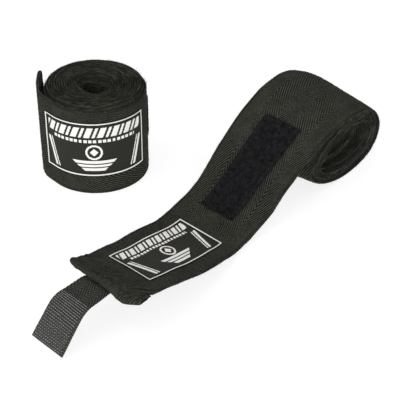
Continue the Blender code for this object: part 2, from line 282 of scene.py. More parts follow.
def chain_point(distance):
    """Place and pitch on the band's chain of arcs and straights, which starts at the roll's top."""
    x = ROLL_TOP.x
    z = ROLL_TOP.z
    pitch = 0.0
    for length_mm, bend in LYING_CHAIN:
        length = length_mm * MM
        used = min(distance, length)
        turn = math.radians(bend) * used / length
        chord = used
        if abs(turn) > 1e-9:
            chord = used * math.sin(0.5 * turn) / (0.5 * turn)
        x -= chord * math.cos(pitch + 0.5 * turn)
        z -= chord * math.sin(pitch + 0.5 * turn)
        pitch += turn
        distance -= used
        if distance <= 0.0:
            break
    x -= distance * math.cos(pitch)
    z -= distance * math.sin(pitch)
    return x, z, pitch


def lying_point(distance, across, height):
    """A point on the lying band: distance from the roll's top, across from its middle, height."""
    x, z, pitch = chain_point(distance)
    along = Vector((-math.cos(pitch), 0.0, -math.sin(pitch)))
    up = Vector((-math.sin(pitch), 0.0, math.cos(pitch)))
    settle = 1.0 - TAIL_SETTLE * smooth((distance - HEM_AT) / TAIL_LENGTH)
    skew = END_SKEW * smooth((distance - 0.5 * RUN_LENGTH) / RUN_LENGTH) * settle
    tilt = ROLL_TILT + (FOOT_TILT - ROLL_TILT) * smooth(distance / RUN_LENGTH)
    tilt += (HEM_TILT - FOOT_TILT) * smooth((distance - RUN_LENGTH) / (HEM_AT - RUN_LENGTH))
    tilt *= settle
    drift = END_DRIFT * min(max(distance - RUN_LENGTH, 0.0), HEM_AT - RUN_LENGTH)
    side = Vector((0.0, -math.cos(skew), 0.0)) + along * math.sin(skew) + up * math.sin(tilt)
    middle = Vector((x, ROLL_MIDDLE_Y - drift, z))
    return middle + side * across + up * height + SHIFT


def closed_spline(points, place):
    """A point on the smooth closed curve through the points, at a place counted in points."""
    count = len(points)
    index = math.floor(place)
    t = place - index
    p0, p1, p2, p3 = (Vector(points[(index + k) % count]) for k in (-1, 0, 1, 2))
    bend = (2.0 * p0 - 5.0 * p1 + 4.0 * p2 - p3) * t * t
    twist = (3.0 * p1 - p0 - 3.0 * p2 + p3) * t * t * t
    return (2.0 * p1 + (p2 - p0) * t + bend + twist) * 0.5 * MM


def lying_turn(place):
    """The section of the lying roll at a place along its winding, counted in outline points."""
    inward = place / (LYING_TURNS * len(ROLL_OUTLINE))
    outer = closed_spline(ROLL_OUTLINE, place)
    core = closed_spline(CORE_OUTLINE, place)
    return outer.lerp(core, inward)


def lying_roll_point(place, across, height):
    """A point on the wound part of the lying band. Height is measured outwards."""
    step = 0.01
    here = lying_turn(place)
    ahead = (lying_turn(place + step) - lying_turn(place - step)).normalized()
    outward = Vector((-ahead.y, ahead.x))
    spot = here + outward * height
    lean = across * math.sin(ROLL_TILT) * spot.y / ROLL_TOP.z
    return Vector((spot.x, ROLL_MIDDLE_Y - across, spot.y + lean)) + SHIFT


# The standing wrap's path

def stand_radius(angle):
    """Radius of the rolled band's middle at an angle wound from the hem."""
    inward = angle / (TURN * STAND_TURNS)
    core = CORE_RADIUS + CORE_OVAL * math.cos(2.0 * (HEM_ANGLE + angle - CORE_OVAL_ANGLE))
    lift = HEM_LIFT * smooth((HEM_LIFT_LENGTH - angle * STAND_RADIUS) / (HEM_LIFT_LENGTH - HEM_FOLD))
    return STAND_RADIUS + (core - STAND_RADIUS) * inward + lift


def round_point(angle, across, radius):
    """A point beside the standing wrap's middle: angle from the hem, across, and radius."""
    turned = HEM_ANGLE + angle
    spot = Vector((math.cos(turned), math.sin(turned), 0.0)) * radius
    return STAND_CENTRE + spot - Vector((0.0, 0.0, across)) + SHIFT


def stand_point(angle, across, height):
    """A point on the rolled band: angle wound from the hem, across from its middle, height."""
    return round_point(angle, across, stand_radius(angle) + height)


def arc_table(point, stop, step):
    """Lengths along a path at even steps of its own coordinate, to turn metres into that."""
    lengths = [0.0]
    before = point(0.0)
    for number in range(1, round(stop / step) + 1):
        here = point(number * step)
        lengths.append(lengths[-1] + (here - before).length)
        before = here
    return lengths


def coordinate_at(lengths, step, along):
    """The path's own coordinate at a length along it."""
    index = min(max(bisect.bisect_right(lengths, along) - 1, 0), len(lengths) - 2)
    share = (along - lengths[index]) / (lengths[index + 1] - lengths[index])
    return (index + share) * step


ROLL_STEP = 1.0 / 8.0
ROLL_END = LYING_TURNS * len(ROLL_OUTLINE)
ROLL_LENGTHS = arc_table(lying_turn, ROLL_END, ROLL_STEP)
STAND_STEP = TURN / 96.0
STAND_END = TURN * STAND_TURNS
STAND_LENGTHS = arc_table(lambda angle: stand_point(angle, 0.0, 0.0), STAND_END, STAND_STEP)
LYING_END = HEM_AT + ROLL_LENGTHS[-1]
ROLLED_END = STAND_LENGTHS[-1]


def crown(across):
    """1 in the band's middle, 0 at its edges."""
    return max(0.0, 1.0 - (2.0 * across / BAND_WIDTH) ** 2)


def hem_shape(along, across, height, flares, rounds, seed):
    """The puffy, uneven hem: where a point of the flat band near it goes, in band coordinates."""
    near = smooth(1.0 - along / HEM_ROUND_RUN)
    edge = abs(2.0 * across / BAND_WIDTH)
    side = 0 if across < 0.0 else 1
    across += math.copysign(flares[side] * near * edge ** 3, across)
    along += rounds[side] * edge ** 8 * near
    height += HEM_WAVE * ripple(0.0, across, HEM_WAVE_SIZE, seed) * near
    height += HEM_LUMP * ripple(along, across, HEM_LUMP_SIZE, seed + 1.0) * near
    height += HEM_RISE * smooth((HEM_FOLD - along) / HEM_RISE_RUN + 0.5)
    height += HEM_RIDGE * hump(along, HEM_RIDGE_AT, HEM_RIDGE_WIDE)
    height -= HEM_SEWN_DEEP * hump(along, HEM_SEWN_AT, HEM_SEWN_WIDE)
    return along, across, height


def top_hump(wound, across):
    """Extra height of the lying roll's top towards its far end."""
    side = hump(across, TOP_HUMP_ACROSS, TOP_HUMP_WIDE)
    return TOP_HUMP * side * hump(wound, TOP_HUMP_AT, TOP_HUMP_RUN)


def open_place(along, across, height):
    """A point on the lying band: along from the hem, across from its middle, height above it."""
    if along < 0.0:
        return folded(open_place, OPEN_FOLD, along, across, height)
    if along < HEM_AT:
        near_side = max(0.0, 2.0 * across / BAND_WIDTH)
        corner = OPEN_CORNER * near_side ** 2 * smooth(1.0 - along / OPEN_CORNER_RUN)
        reach = (OPEN_REACH + OPEN_SHEAR * across) * smooth((HEM_AT - along) / OPEN_REACH_RUN)
        belly = OPEN_BELLY * hump(along, OPEN_BELLY_AT, OPEN_BELLY_RUN)
        waist = OPEN_WAIST * hump(along, OPEN_WAIST_AT, OPEN_WAIST_RUN)
        along, across, height = hem_shape(along, across, height, OPEN_FLARES, OPEN_ROUNDS, 7.0)
        along -= corner + reach
        across += (belly - waist) * near_side
        distance = HEM_AT - along
        height += top_hump(-distance, across)
        height += BULGE * crown(across) * smooth(1.0 - distance / BULGE_RUN)
        loose = 1.0 - FLUTTER_HELD * crown(across)
        flutter = FLUTTER * ripple(along, across, FLUTTER_SIZE, 1.0) * loose
        height += flutter * smooth(distance / BULGE_RUN)
        across += WANDER * ripple(along, 0.0, WANDER_SIZE, math.copysign(2.0, across))
        return lying_point(distance, across, height)
    place = coordinate_at(ROLL_LENGTHS, ROLL_STEP, along - HEM_AT)
    raised = smooth((lying_turn(place).y - BULGE_LOW) / BULGE_HIGH)
    bulge = BULGE * crown(across) * raised + top_hump(along - HEM_AT, across)
    bulge *= 1.0 - place / ROLL_END
    pushed = TELESCOPE * smooth((along - HEM_AT - TELESCOPE_AT) / TELESCOPE_RUN)
    return lying_roll_point(place, across - pushed, height + bulge)


def rolled_place(along, across, height):
    """A point on the rolled band: along from the hem, across from its middle, height outwards."""
    if along < 0.0:
        return folded(rolled_place, ROLLED_FOLD, along, across, height)
    if along < 2.0 * HEM_FOLD:
        along, across, puff = hem_shape(along, across, 0.0, ROLLED_FLARES, ROLLED_ROUNDS, 3.0)
        height += ROLLED_PUFF * puff
    angle = coordinate_at(STAND_LENGTHS, STAND_STEP, along)
    inward = angle / STAND_END
    height += CORE_RIPPLE * inward ** 3 * math.cos(3.0 * angle + 1.0)
    return stand_point(angle, across, height)


def rolled_label_place(along, across, height):
    """A point on the rolled band's outermost turn, as the model counts length along it."""
    return stand_point((along + ROLLED_LABEL_ON) / STAND_RADIUS, across - ROLLED_LABEL_UP, height)


def folded(place, radius, along, across, height):
    """A point on the hem's fold, which turns under the band and runs back below it."""
    beyond = -along
    bend = math.pi * radius
    if beyond < bend:
        angle = beyond / radius
        hem = place(0.0, across, 0.0)
        up = (place(0.0, across, MM) - hem).normalized()
        out = (hem - place(MM, across, 0.0)).normalized()
        reach = radius + height
        return hem + out * (reach * math.sin(angle)) + up * (reach * math.cos(angle) - radius)
    back = beyond - bend
    pressed = 1.0 - FOLD_PRESSED * smooth(back / HEM_FOLD)
    return place(back, across, -2.0 * radius * pressed - height)


def open_tail_place(along, across, height):
    """A point on the lying wrap's tail. Along is negative beyond the hem."""
    height += TAIL_WAVE * ripple(along, across, TAIL_WAVE_SIZE, 9.0)
    height += TAIL_HEIGHT + TAIL_TIP_RISE * smooth(-along / TAIL_LENGTH)
    spot = lying_point(HEM_AT - along, across + TAIL_ASIDE, height)
    spot.z = max(spot.z, 0.0)
    return spot


def rolled_tail_place(along, across, height):
    """A point on the closed tail, which runs on round the rolled wrap beyond the hem."""
    height += TAIL_CLIMB * smooth(-along / TAIL_CLIMB_RUN)
    return round_point(along / (TAIL_RADIUS + TAIL_CLIMB), across, TAIL_RADIUS + height)


# Ribbons

RIB_ALONG = RIB_PITCH * math.hypot(1.0, RIB_SLOPE)
HEM_STEP = 0.3 * MM
SELVEDGE = 1.5 * MM
DASH_SHAPE = ((-1.0, -1.0, 0.0, 0.09 * MM), (-0.3, -0.4, 0.14 * MM, 0.20 * MM),
              (0.3, 0.4, 0.14 * MM, 0.20 * MM), (1.0, 1.0, 0.0, 0.09 * MM))
HOOK_SHAPE = ((0.0, -0.1 * MM, 0.09 * MM), (0.0, 0.55 * MM, 0.07 * MM),
              (0.15 * MM, 0.75 * MM, 0.07 * MM), (0.4 * MM, 0.7 * MM, 0.06 * MM),
              (0.5 * MM, 0.45 * MM, 0.04 * MM))
STITCH_SHAPE = ((-1.0, -1.6), (-0.7, 0.3), (0.0, 0.6), (0.7, 0.3), (1.0, -1.6))


def section(width, thick, columns):
    """(across, height) points round a ribbon's section, with rounded edges."""
    radius = 0.5 * thick
    half = 0.5 * width - radius
    top = [(-half + 2.0 * half * k / columns, radius) for k in range(columns + 1)]
    rim = [(half + radius * math.sin(a), radius * math.cos(a)) for a in
           (math.radians(45.0), math.radians(90.0), math.radians(135.0))]
    bottom = [(across, -height) for across, height in reversed(top)]
    return top + rim + bottom + [(-across, height) for across, height in reversed(rim)]


def chevron(across):
    """How far a herringbone rib runs on along the band from one column's edge, at across."""
    column = BAND_WIDTH / CHEVRONS
    place = (across + 0.5 * BAND_WIDTH) / column
    return RIB_SLOPE * column * abs(place - 2.0 * math.floor(0.5 * place + 0.5))


def weave_phase(along, across):
    """Counts the herringbone's ribs: whole numbers are their crests."""
    return (along - chevron(across)) / RIB_ALONG


def tape_rib(along, across, pitch, slope):
    """Height of the tape's own fine herringbone, from -1 to 1."""
    lean = slope * abs((across + TAPE_SHIFT - TAPE_COLUMN) % (2.0 * TAPE_COLUMN) - TAPE_COLUMN)
    return math.cos(TURN * (along - lean) / pitch)


def ribbon(name, place, start, stop, width, thick, material, step=None, columns=6,
           edges=None, hem=None, relief=None):
    """A strip of cloth from start to stop along a path, as one object.

    Without a step it has herringbone ribs, and its rows follow them from hem on. edges gives, at
    a length along, how far the upper and the lower edge are drawn in.
    """
    ribbed = step is None
    if ribbed:
        columns = CHEVRONS * CHEVRON_STEPS
        hem = start if hem is None else hem
        first = spread(start, hem, HEM_STEP) if hem > start else []
        ribs = spread(hem - RIB_SLOPE * BAND_WIDTH / CHEVRONS, stop, RIB_ALONG / RIB_STEPS)
        bases = [(base, False) for base in first] + [(base, True) for base in ribs]
    else:
        bases = [(base, False) for base in spread(start, stop, step)]
    form = bmesh.new()
    weave = form.verts.layers.float_vector.new("weave")
    cloth = form.verts.layers.float_vector.new("cloth")
    ring = section(width, thick, columns)
    half = 0.5 * width
    rows = []
    for base, follows in bases:
        row = []
        for across, height in ring:
            along = min(max(base + chevron(across), hem), stop) if follows else base
            phase = weave_phase(along, across)
            rim = smooth((abs(across) - half + SELVEDGE) / SELVEDGE)
            lift = 0.0
            if ribbed:
                lift = 0.5 * RIB_HEIGHT * math.cos(TURN * phase) * (1.0 - 0.8 * rim)
            elif relief is not None and height > 0.0:
                lift = relief(along, across)
            drawn = 0.0
            if edges is not None:
                upper, lower = edges(along)
                drawn = upper * max(0.0, -across / half) ** 4 - lower * max(0.0, across / half) ** 4
            spot = place(along, across + drawn, height + lift)
            spot.z = max(spot.z, 0.0)
            vert = form.verts.new(spot)
            vert[weave] = (phase, across * math.hypot(1.0, RIB_SLOPE), rim)
            vert[cloth] = (along, across, 1.0 if height > 0.0 else -1.0)
            row.append(vert)
        rows.append(row)
    for near, far in zip(rows, rows[1:]):
        for k in range(len(ring)):
            form.faces.new((near[k - 1], near[k], far[k], far[k - 1]))
    form.faces.new(rows[0])
    form.faces.new(list(reversed(rows[-1])))
    bmesh.ops.remove_doubles(form, verts=form.verts, dist=1e-7)
    bmesh.ops.recalc_face_normals(form, faces=form.faces)
    form.normal_update()
    middle = 0.5 * (max(start, 0.0) + stop) if width == BAND_WIDTH else 0.5 * (start + stop)
    spot = place(middle, 0.0, 0.5 * thick)
    outward = place(middle, 0.0, thick) - spot
    nearest = min((v for v in form.verts if v[cloth].z > 0.0), key=lambda v: (v.co - spot).length)
    if nearest.normal.dot(outward) < 0.0:
        bmesh.ops.reverse_faces(form, faces=form.faces)
    return finish_mesh(name, form, material)


class Tubes:
    """Many small closed tubes, such as stitches or fibres, that become one object."""

    def __init__(self):
        self.spots = []
        self.faces = []
        self.cloth = []

    def ring(self, spot, side, lift, radius, sides, run):
        """Numbers of a ring's points, or of its one point where the radius is 0."""
        first = len(self.spots)
        count = sides if radius > 0.0 else 1
        for k in range(count):
            angle = TURN * k / sides
            vert = spot + (side * math.cos(angle) + lift * math.sin(angle)) * radius
            vert.z = max(vert.z, 0.0)
            self.spots.append(vert)
            self.cloth.append((run, angle, 1.0))
        return list(range(first, first + count))

    def add(self, points, radii, sides=3):
        """One tube along the points, which ends in a point where a radius is 0."""
        side = (points[1] - points[0]).orthogonal().normalized()
        before = None
        run = 0.0
        for k, (spot, radius) in enumerate(zip(points, radii)):
            ahead = (points[min(k + 1, len(points) - 1)] - points[max(k - 1, 0)]).normalized()
            side = (side - ahead * side.dot(ahead)).normalized()
            run += (spot - points[max(k - 1, 0)]).length
            here = self.ring(spot, side, ahead.cross(side), radius, sides, run)
            if before is None:
                if len(here) > 1:
                    self.faces.append(here[::-1])
            elif len(here) == 1:
                self.faces += [(before[j - 1], before[j], here[0]) for j in range(sides)]
            elif len(before) == 1:
                self.faces += [(before[0], here[j], here[j - 1]) for j in range(sides)]
            else:
                self.faces += [(before[j - 1], before[j], here[j], here[j - 1])
                               for j in range(sides)]
            before = here
        if len(before) > 1:
            self.faces.append(before)

    def build(self, name, material):
        """The object with all the tubes."""
        mesh = bpy.data.meshes.new(name)
        mesh.from_pydata(self.spots, [], self.faces)
        layer = mesh.attributes.new("cloth", "FLOAT_VECTOR", "POINT")
        layer.data.foreach_set("vector", [part for place in self.cloth for part in place])
        mesh.shade_smooth()
        mesh.materials.append(material)
        thing = bpy.data.objects.new(name, mesh)
        bpy.context.scene.collection.objects.link(thing)
        return thing


def stitching(name, place, lines, height, material):
    """Rows of single stitches. Each line runs from one (along, across) to another."""
    tubes = Tubes()
    thin = 0.8 * STITCH_RADIUS
    radii = (thin, STITCH_RADIUS, STITCH_RADIUS, STITCH_RADIUS, thin)
    for (along, across), (far_along, far_across) in lines:
        span = math.hypot(far_along - along, far_across - across)
        count = max(1, round(span / STITCH_PITCH))
        for number in range(count):
            points = []
            for part, rise in STITCH_SHAPE:
                share = (number + 0.5) / count + part * 0.5 * STITCH_LENGTH / span
                points.append(place(along + (far_along - along) * share,
                                    across + (far_across - across) * share,
                                    height + rise * STITCH_RADIUS))
            tubes.add(points, radii, 6)
    return tubes.build(name, material)


def rectangle(start, stop, width):
    """The four sides of a rectangle on a strip."""
    half = 0.5 * width
    corners = ((start, -half), (start, half), (stop, half), (stop, -half))
    return [(corners[k - 1], corners[k]) for k in range(4)]


def fibres(name, place, start, stop, material, seed, width=BAND_WIDTH, height=0.5 * BAND_THICK,
           density=LINT_DENSITY, length=LINT_LENGTH, rise=LINT_RISE, thick=LINT_THICK, feather=0.0):
    """Loose fibres over a strip's upper side, that many per square metre.

    With a feather they are loops, which thin out that far past the strip's edges.
    """
    draw = random.Random(seed)
    tubes = Tubes()
    for _ in range(round((stop - start) * width * density)):
        along = draw.uniform(start, stop) + draw.gauss(0.0, feather)
        across = draw.uniform(-0.5, 0.5) * width + draw.gauss(0.0, feather)
        reach = length * draw.uniform(0.4, 1.0)
        heading = draw.uniform(0.0, TURN)
        curl = draw.uniform(-1.4, 1.4)
        top = rise * draw.uniform(0.3, 1.0)
        points = []
        for step in (0.0, 0.35, 0.7, 1.0):
            turned = heading + curl * step
            arch = math.sin((1.0 if feather else 0.5) * math.pi * step)
            points.append(place(along + reach * step * math.cos(turned),
                                across + reach * step * math.sin(turned),
                                height + top * arch))
        tubes.add(points, (thick, thick, 0.8 * thick, 0.0))
    return tubes.build(name, material)


def rim_fibres(name, place, start, stop, side, edges, material, seed, density=RIM_DENSITY):
    """Loose fibres along one edge of a band, that many per metre. side is -1 or 1."""
    draw = random.Random(seed)
    tubes = Tubes()
    for _ in range(round((stop - start) * density)):
        along = draw.uniform(start, stop)
        inset = RIM_INSET + edges(along)[0 if side < 0 else 1]
        across = 0.5 * BAND_WIDTH - inset
        height = draw.uniform(-0.4, 0.4) * BAND_THICK
        reach = LINT_LENGTH * draw.uniform(0.3, 1.0)
        drift = draw.uniform(-0.8, 0.8)
        rise = draw.uniform(-0.5, 0.5)
        points = [place(along + reach * drift * step,
                        side * (across + reach * step * (1.2 - 0.5 * step)),
                        height + reach * rise * step) for step in (0.0, 0.5, 1.0)]
        tubes.add(points, (LINT_THICK, 0.8 * LINT_THICK, 0.0))
    return tubes.build(name, material)


def finish_mesh(name, form, material):
    """The object that holds a finished mesh, shaded smooth with sharp corners kept."""
    mesh = bpy.data.meshes.new(name)
    form.to_mesh(mesh)
    form.free()
    mesh.shade_smooth()
    mesh.set_sharp_from_angle(angle=SHARP_ANGLE)
    mesh.materials.append(material)
    thing = bpy.data.objects.new(name, mesh)
    bpy.context.scene.collection.objects.link(thing)
    return thing


# Materials

class Shader:
    """A material's node tree, with short ways to write its sums."""

    def __init__(self, name):
        self.material = bpy.data.materials.new(name)
        self.material.use_nodes = True
        self.tree = self.material.node_tree
        self.principled = self.tree.nodes["Principled BSDF"]
        self.spot = self.tree.nodes.new("ShaderNodeTexCoord").outputs["Object"]

    def make(self, kind, values=(), **settings):
        """A new node, with its input values by name or number and its settings."""
        node = self.tree.nodes.new(kind)
        for key, value in settings.items():
            setattr(node, key, value)
        for key, value in dict(values).items():
            self.give(node.inputs[key], value)
        return node

    def give(self, socket, value):
        """Set a socket to a value, or link it to another node's output."""
        if isinstance(value, bpy.types.NodeSocket):
            self.tree.links.new(value, socket)
        else:
            socket.default_value = value

    def sum(self, operation, *values):
        """The output of a math node."""
        node = self.make("ShaderNodeMath", enumerate(values), operation=operation)
        return node.outputs[0]

    def band(self, value, low, high, start=0.0, stop=1.0):
        """Value mapped smoothly from low..high to start..stop."""
        node = self.make("ShaderNodeMapRange", {0: value, 1: low, 2: high, 3: start, 4: stop},
                         interpolation_type="SMOOTHSTEP")
        return node.outputs[0]

    def product(self, first, second):
        """The output of a multiplication."""
        return self.sum("MULTIPLY", first, second)

    def times(self, lit, value, low, high, start, stop):
        """Lit, scaled by a value that is mapped from low..high to start..stop."""
        return self.product(lit, self.band(value, low, high, start, stop))

    def attribute(self, name):
        """The three parts of a vertex attribute."""
        node = self.make("ShaderNodeAttribute", attribute_name=name)
        parts = self.make("ShaderNodeSeparateXYZ", {0: node.outputs["Vector"]})
        return parts.outputs[0], parts.outputs[1], parts.outputs[2]

    def noise(self, scale, detail=2.0, roughness=0.5, vector=None):
        """Noise from 0 to 1, over the place on the object in metres unless a vector is given."""
        node = self.make("ShaderNodeTexNoise", {"Vector": vector or self.spot, "Scale": scale,
                                                "Detail": detail, "Roughness": roughness})
        return node.outputs[0]

    def mix(self, share, first, second):
        """A colour between two, each of which is another node's output or (red, green, blue)."""
        ends = [(*end, 1.0) if isinstance(end, tuple) else end for end in (first, second)]
        node = self.make("ShaderNodeMix", {0: share, 6: ends[0], 7: ends[1]}, data_type="RGBA")
        return node.outputs[2]

    def finish(self, colour, roughness, height, distance, gloss=0.05):
        """Set the surface's colour, roughness and bump."""
        bump = self.make("ShaderNodeBump", {"Height": height, "Distance": distance,
                                            "Strength": 1.0})
        self.give(self.principled.inputs["Base Color"], colour)
        self.give(self.principled.inputs["Roughness"], roughness)
        self.give(self.principled.inputs["Normal"], bump.outputs[0])
        self.give(self.principled.inputs["Specular IOR Level"], gloss)
        return self.material


def band_material():
    """Charcoal herringbone cotton: ribs of short yarn floats, soft and slightly uneven."""
    shader = Shader("band_cloth")
    phase, run, rim = shader.attribute("weave")
    crest = shader.sum("COSINE", shader.product(phase, TURN))
    crest = shader.band(crest, -0.6, 0.9)
    number = shader.sum("ROUND", phase)
    offset = shader.product(number, 0.38)
    float_place = shader.sum("FRACT", shader.sum("MULTIPLY_ADD", run, 1.0 / YARN_FLOAT, offset))
    float_end = shader.sum("ABSOLUTE", shader.sum("SUBTRACT", float_place, 0.5))
    yarn = shader.band(float_end, 0.5, 0.25)
    fuzz = shader.noise(2600.0, 3.0, 0.7)
    tuft = shader.noise(700.0, 2.0, 0.6)
    patch = shader.noise(110.0, 2.0)
    warm = shader.noise(60.0, 2.0)
    ribs = shader.product(crest, shader.sum("MULTIPLY_ADD", yarn, 0.5, 0.5))
    clear = shader.band(shader.noise(45.0, 2.0), 0.38, 0.62, 0.25, 1.0)
    ribs = shader.sum("MULTIPLY_ADD", shader.sum("SUBTRACT", ribs, 0.42), clear, 0.42)
    along, across, _ = shader.attribute("cloth")
    drawn = {0: shader.product(along, 0.10), 1: across}
    streaks = shader.noise(1500.0, 3.0, 0.7, shader.make("ShaderNodeCombineXYZ", drawn).outputs[0])
    plain = shader.product(rim, shader.band(streaks, 0.38, 0.72, 0.10, 0.85))
    lit = shader.sum("MAXIMUM", shader.sum("SUBTRACT", ribs, shader.product(rim, 0.8)), plain)
    lit = shader.times(lit, fuzz, 0.25, 0.75, 0.55, 1.3)
    lit = shader.times(lit, tuft, 0.3, 0.7, 0.7, 1.2)
    lit = shader.times(lit, patch, 0.3, 0.7, 0.75, 1.1)
    deep = shader.mix(shader.band(warm, 0.45, 0.65), (0.0068, 0.0072, 0.0056),
                      (0.0095, 0.0078, 0.0062))
    colour = shader.mix(lit, deep, (0.078, 0.082, 0.066))
    height = shader.sum("ADD", lit, shader.product(fuzz, 0.4))
    return shader.finish(colour, 0.95, height, 0.12 * MM)


def lint_material(name, dark, light):
    """Loose fibres, a little lighter than the cloth that they stand on."""
    shader = Shader(name)
    tint = shader.noise(500.0, 2.0)
    colour = shader.mix(shader.band(tint, 0.3, 0.7), dark, light)
    return shader.finish(colour, 0.9, tint, 0.01 * MM)


def label_material():
    """Damask weave: white picks raised on a black ground, tight and slightly glossy."""
    shader = Shader("label_weave")
    along, across, _ = shader.attribute("cloth")
    white = shader.make("ShaderNodeAttribute", attribute_name="white").outputs["Fac"]
    pick = shader.sum("COSINE", shader.product(along, TURN / LABEL_PICK))
    warp = shader.sum("COSINE", shader.product(across, TURN / LABEL_PICK))
    tile = shader.band(shader.product(pick, warp), -1.0, 1.0)
    fuzz = shader.noise(3000.0, 2.0, 0.6)
    wear = shader.noise(180.0, 2.0)
    lit = shader.times(shader.band(fuzz, 0.2, 0.8, 0.75, 1.0), tile, 0.0, 1.0, 0.82, 1.0)
    lit = shader.times(lit, wear, 0.3, 0.7, 0.9, 1.0)
    black = shader.mix(lit, (0.006, 0.006, 0.005), (0.026, 0.026, 0.022))
    pale = shader.mix(lit, (0.52, 0.51, 0.49), (0.90, 0.89, 0.86))
    height = shader.sum("ADD", tile, shader.product(fuzz, 0.5))
    colour = shader.mix(white, black, pale)
    return shader.finish(colour, 0.7, height, 0.04 * MM, 0.12)


def thread_material():
    """Twisted black polyester thread."""
    shader = Shader("thread")
    along, across, _ = shader.attribute("cloth")
    twist = shader.sum("ADD", shader.product(along, TURN / THREAD_TWIST), across)
    ply = shader.band(shader.sum("SINE", twist), -1.0, 1.0)
    fuzz = shader.noise(4000.0, 2.0)
    lit = shader.times(ply, fuzz, 0.3, 0.7, 0.7, 1.0)
    colour = shader.mix(lit, (0.007, 0.007, 0.007), (0.030, 0.030, 0.028))
    return shader.finish(colour, 0.55, ply, 0.06 * MM, 0.15)


def tape_material(name, pitch, slope, dark, light):
    """Narrow woven tape with a fine herringbone of its own."""
    shader = Shader(name)
    along, across, _ = shader.attribute("cloth")
    zig = shader.sum("PINGPONG", shader.sum("ADD", across, TAPE_SHIFT), TAPE_COLUMN)
    lean = shader.product(zig, slope)
    phase = shader.product(shader.sum("SUBTRACT", along, lean), TURN / pitch)
    rib = shader.band(shader.sum("COSINE", phase), -1.0, 0.9)
    warp = shader.sum("COSINE", shader.product(across, TURN / TAPE_WARP))
    tile = shader.times(rib, warp, -1.0, 0.6, 0.45, 1.0)
    fuzz = shader.noise(2500.0, 3.0, 0.6)
    wear = shader.noise(150.0, 2.0)
    lit = shader.times(shader.times(tile, fuzz, 0.25, 0.75, 0.6, 1.1), wear, 0.3, 0.7, 0.75, 1.1)
    colour = shader.mix(lit, dark, light)
    return shader.finish(colour, 0.7, shader.sum("ADD", tile, fuzz), 0.10 * MM, 0.1)


def hook_glint_material():
    """The nylon hooks and the raised dashes on the hook tape's back. Their light grey is a painted glint
    on black nylon.
    """
    shader = Shader("hook_nylon_painted_glint")
    fuzz = shader.noise(2500.0, 2.0)
    tint = shader.noise(300.0, 2.0)
    lit = shader.times(shader.band(fuzz, 0.3, 0.7, 0.6, 1.0), tint, 0.3, 0.7, 0.6, 1.0)
    # Painted highlight: the light grey stands in for the glint of the black nylon, not for its own colour.
    colour = shader.mix(lit, (0.060, 0.060, 0.057), (0.260, 0.265, 0.250))
    return shader.finish(colour, 0.45, fuzz, 0.03 * MM, 0.3)


def fleece_material():
    """Brushed loop pile, bluish black."""
    shader = Shader("loop_fleece")
    fuzz = shader.noise(2200.0, 3.0, 0.7)
    matted = shader.noise(420.0, 3.0, 0.6)
    lit = shader.times(shader.band(fuzz, 0.25, 0.75, 0.5, 1.1), matted, 0.3, 0.7, 0.35, 1.2)
    colour = shader.mix(lit, (0.0032, 0.0032, 0.0038), (0.018, 0.018, 0.0195))
    return shader.finish(colour, 0.97, fuzz, 0.2 * MM, 0.02)


# Stage

def make_camera():
    """The camera, at the photographed angle."""
    data = bpy.data.cameras.new("camera")
    data.sensor_width = 36.0
    data.lens = CAMERA_LENS
    camera = bpy.data.objects.new("camera", data)
    bpy.context.scene.collection.objects.link(camera)
    level = math.cos(CAMERA_ELEVATION)
    back = Vector((math.sin(CAMERA_AZIMUTH) * level, -math.cos(CAMERA_AZIMUTH) * level,
                   math.sin(CAMERA_ELEVATION)))
    camera.location = SHIFT + back * CAMERA_DISTANCE
    camera.rotation_mode = "QUATERNION"
    camera.rotation_quaternion = (-back).to_track_quat("-Z", "Y")
    bpy.context.scene.camera = camera


def make_stage():
    """A plain white table that glows a little, as in a product booth, and soft studio light."""
    form = bmesh.new()
    bmesh.ops.create_grid(form, x_segments=1, y_segments=1, size=3.0)
    shader = Shader("table")
    grain = shader.noise(3.0, 2.0)
    colour = shader.mix(grain, (0.27, 0.27, 0.27), (0.29, 0.29, 0.29))
    shader.principled.inputs["Emission Color"].default_value = (1.0, 1.0, 1.0, 1.0)
    shader.principled.inputs["Emission Strength"].default_value = TABLE_GLOW
    floor = finish_mesh("table", form, shader.finish(colour, 0.9, grain, 0.0))
    world = bpy.data.worlds.new("studio")
    world.use_nodes = True
    world.node_tree.nodes["Background"].inputs[0].default_value = (1.0, 1.0, 1.0, 1.0)
    world.node_tree.nodes["Background"].inputs[1].default_value = WORLD_LIGHT
    bpy.context.scene.world = world
    bpy.context.scene.view_settings.view_transform = "Standard"
    add_light("key", Vector((-0.55, 0.25, 0.75)), size=0.8, power=2.5)
    add_light("fill", Vector((-0.8, -0.9, 0.35)), size=0.7, power=8.0)


def add_light(name, place, size, power):
    """A square lamp that faces the object."""
    data = bpy.data.lights.new(name, "AREA")
    data.size = size
    data.energy = power
    lamp = bpy.data.objects.new(name, data)
    bpy.context.scene.collection.objects.link(lamp)
    lamp.location = place
    lamp.rotation_mode = "QUATERNION"
    lamp.rotation_quaternion = (-place).to_track_quat("-Z", "Y")


# How pieces move

def hold(piece, holder, node=None):
    """The piece rides on a body, or for a joint keeps its place with its transform baked in, and may stand
    for a node of the model.
    """
    if holder in JOINT_BENDS:
        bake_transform(piece)
    else:
        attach(piece, holder)
    if node is not None:
        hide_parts(node)


JOINT_BENDS = {
    "open_run_lift": ("open_roll", "open_run", lying_point(0.0, 0.0, 0.0),
                      lying_point(TOP_BEND, 0.0, 0.0)),
    "open_end_fold": ("open_run", "open_end", lying_point(RUN_LENGTH - FOOT_BEND, 0.0, 0.0),
                      lying_point(RUN_LENGTH + FOOT_BEND, 0.0, 0.0)),
    "open_tail_fold": ("open_end", "open_tail", open_tail_place(TAIL_BEND_IN, 0.0, 0.0),
                       open_tail_place(-TAIL_BEND_OUT, 0.0, 0.0)),
    "rolled_tail_peel": ("rolled_wrap", "rolled_tail", rolled_tail_place(TAIL_BEND_IN, 0.0, 0.0),
                         rolled_tail_place(-TAIL_BEND_OUT, 0.0, 0.0)),
}


# Bands

